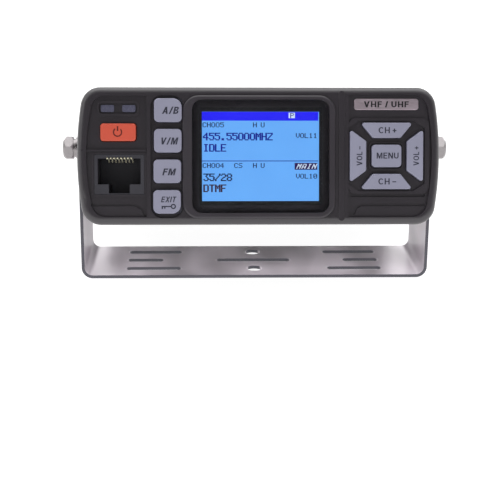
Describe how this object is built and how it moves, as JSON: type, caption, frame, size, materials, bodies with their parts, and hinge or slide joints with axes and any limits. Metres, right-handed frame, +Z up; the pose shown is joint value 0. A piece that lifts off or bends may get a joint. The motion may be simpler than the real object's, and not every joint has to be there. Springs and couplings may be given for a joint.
{
  "type": "mobile transceiver",
  "caption": "Compact vehicle-mount two-way radio with keypad, colour display and microphone jack, tilting in a slotted U bracket.",
  "frame": {"origin": "centre of the bracket's mounting plate, on its underside", "axes": "+Z up out of the mounting plate, +X to the user's right, -Y towards the user"},
  "size_m": [0.1245, 0.1221, 0.0645],
  "materials": {
    "stainless": "bright stainless sheet",
    "bezel_plastic": "fine moulded texture, dark grey",
    "surround_plastic": "satin dark grey",
    "lens": "clear, polished",
    "lcd": "lit colour display",
    "backlight_plastic": "white frame",
    "board": "green solder mask",
    "screw_black": "black oxide screws",
    "mat_rubber": "translucent grey silicone",
    "window_plastic": "smoked light pipe",
    "led_resin": "clear resin",
    "badge_metal": "satin silver, blank",
    "jack_plastic": "black nylon",
    "gold": "gold plated",
    "cast_alloy": "black painted die-casting",
    "cover_paint": "black satin paint",
    "speaker_steel": "grey pressed steel",
    "speaker_paper": "black pressed paper cone",
    "magnet": "grey ferrite",
    "screw_steel": "bright zinc plated steel",
    "shield_tin": "tinned steel",
    "chip_resin": "black moulded resin",
    "copper": "enamelled copper wire",
    "can_aluminium": "sleeved aluminium cans",
    "connector_plastic": "black nylon",
    "ribbon": "white flat cable",
    "fan_plastic": "black glass-filled plastic",
    "wire_steel": "plated steel",
    "nickel": "nickel plated brass",
    "ptfe": "white insulator",
    "pad_rubber": "black rubber",
    "insert_brass": "plain brass",
    "power_plastic": "satin orange",
    "key_plastic": "satin pale grey"
  },
  "bodies": {
    "bracket": {"mounting_bracket": "stainless"},
    "radio": {"front_bezel": "bezel_plastic", "display_surround": "surround_plastic", "display_lens": "lens", "lcd_panel": "lcd", "lcd_backlight": "backlight_plastic", "front_board": "board", "front_board_screws": "screw_black", "keypad_mat_left": "mat_rubber", "keypad_mat_right": "mat_rubber", "status_windows": "window_plastic", "status_leds": "led_resin", "badge_plate": "badge_metal", "mic_jack_housing": "jack_plastic", "mic_jack_contacts": "gold", "chassis": "cast_alloy", "top_cover": "cover_paint", "cover_screws": "screw_black", "speaker_frame": "speaker_steel", "speaker_cone": "speaker_paper", "speaker_magnet": "magnet", "speaker_clamps": "speaker_steel", "main_board": "board", "main_board_screws": "screw_steel", "receiver_shield": "shield_tin", "synthesiser_shield": "shield_tin", "power_transistors": "chip_resin", "output_coils": "copper", "board_capacitors": "can_aluminium", "audio_amplifier": "chip_resin", "processor": "chip_resin", "ribbon_connectors": "connector_plastic", "ribbon_cable": "ribbon", "fan_frame": "fan_plastic", "fan_guard": "wire_steel", "fan_screws": "screw_black", "antenna_socket": "nickel", "antenna_insulator": "ptfe", "antenna_contact": "gold", "antenna_screws": "screw_steel", "dc_inlet_housing": "connector_plastic", "dc_inlet_pins": "nickel", "speaker_jack": "nickel", "pivot_bolt_left": "screw_steel", "pivot_bolt_right": "screw_steel", "split_washers": "screw_steel", "flat_washers": "screw_steel", "friction_pads": "pad_rubber", "threaded_inserts": "insert_brass"},
    "fan_impeller": {"fan_rotor": "fan_plastic"},
    "power_key": {"power_button": "power_plastic"},
    "a_b_key": {"key_a_b": "key_plastic"},
    "v_m_key": {"key_v_m": "key_plastic"},
    "fm_key": {"key_fm": "key_plastic"},
    "exit_key": {"key_exit": "key_plastic"},
    "channel_up_key": {"key_channel_up": "key_plastic"},
    "channel_down_key": {"key_channel_down": "key_plastic"},
    "volume_up_key": {"key_volume_up": "key_plastic"},
    "volume_down_key": {"key_volume_down": "key_plastic"},
    "menu_key": {"key_menu": "key_plastic"}
  },
  "joints": [
    {"name": "radio_tilt", "type": "hinge", "parent": "bracket", "child": "radio", "pos_m": [0, 0, 0.0394], "axis": [1, 0, 0], "range_deg": [-16, 44]},
    {"name": "fan_spin", "type": "hinge", "parent": "radio", "child": "fan_impeller", "pos_m": [0.0275, 0.05994, 0.02353], "axis": [0, 0.9703, -0.2419], "continuous": true},
    {"name": "power_button_press", "type": "slide", "parent": "radio", "child": "power_key", "axis": [0, 0.9703, -0.2419], "range_m": [0, 0.0008], "stiffness_N_per_m": 1500},
    {"name": "a_b_press", "type": "slide", "parent": "radio", "child": "a_b_key", "axis": [0, 0.9703, -0.2419], "range_m": [0, 0.0008], "stiffness_N_per_m": 1500},
    {"name": "v_m_press", "type": "slide", "parent": "radio", "child": "v_m_key", "axis": [0, 0.9703, -0.2419], "range_m": [0, 0.0008], "stiffness_N_per_m": 1500},
    {"name": "fm_press", "type": "slide", "parent": "radio", "child": "fm_key", "axis": [0, 0.9703, -0.2419], "range_m": [0, 0.0008], "stiffness_N_per_m": 1500},
    {"name": "exit_press", "type": "slide", "parent": "radio", "child": "exit_key", "axis": [0, 0.9703, -0.2419], "range_m": [0, 0.0008], "stiffness_N_per_m": 1500},
    {"name": "channel_up_press", "type": "slide", "parent": "radio", "child": "channel_up_key", "axis": [0, 0.9703, -0.2419], "range_m": [0, 0.0008], "stiffness_N_per_m": 1500},
    {"name": "channel_down_press", "type": "slide", "parent": "radio", "child": "channel_down_key", "axis": [0, 0.9703, -0.2419], "range_m": [0, 0.0008], "stiffness_N_per_m": 1500},
    {"name": "volume_up_press", "type": "slide", "parent": "radio", "child": "volume_up_key", "axis": [0, 0.9703, -0.2419], "range_m": [0, 0.0008], "stiffness_N_per_m": 1500},
    {"name": "volume_down_press", "type": "slide", "parent": "radio", "child": "volume_down_key", "axis": [0, 0.9703, -0.2419], "range_m": [0, 0.0008], "stiffness_N_per_m": 1500},
    {"name": "menu_press", "type": "slide", "parent": "radio", "child": "menu_key", "axis": [0, 0.9703, -0.2419], "range_m": [0, 0.0008], "stiffness_N_per_m": 1500}
  ]
}
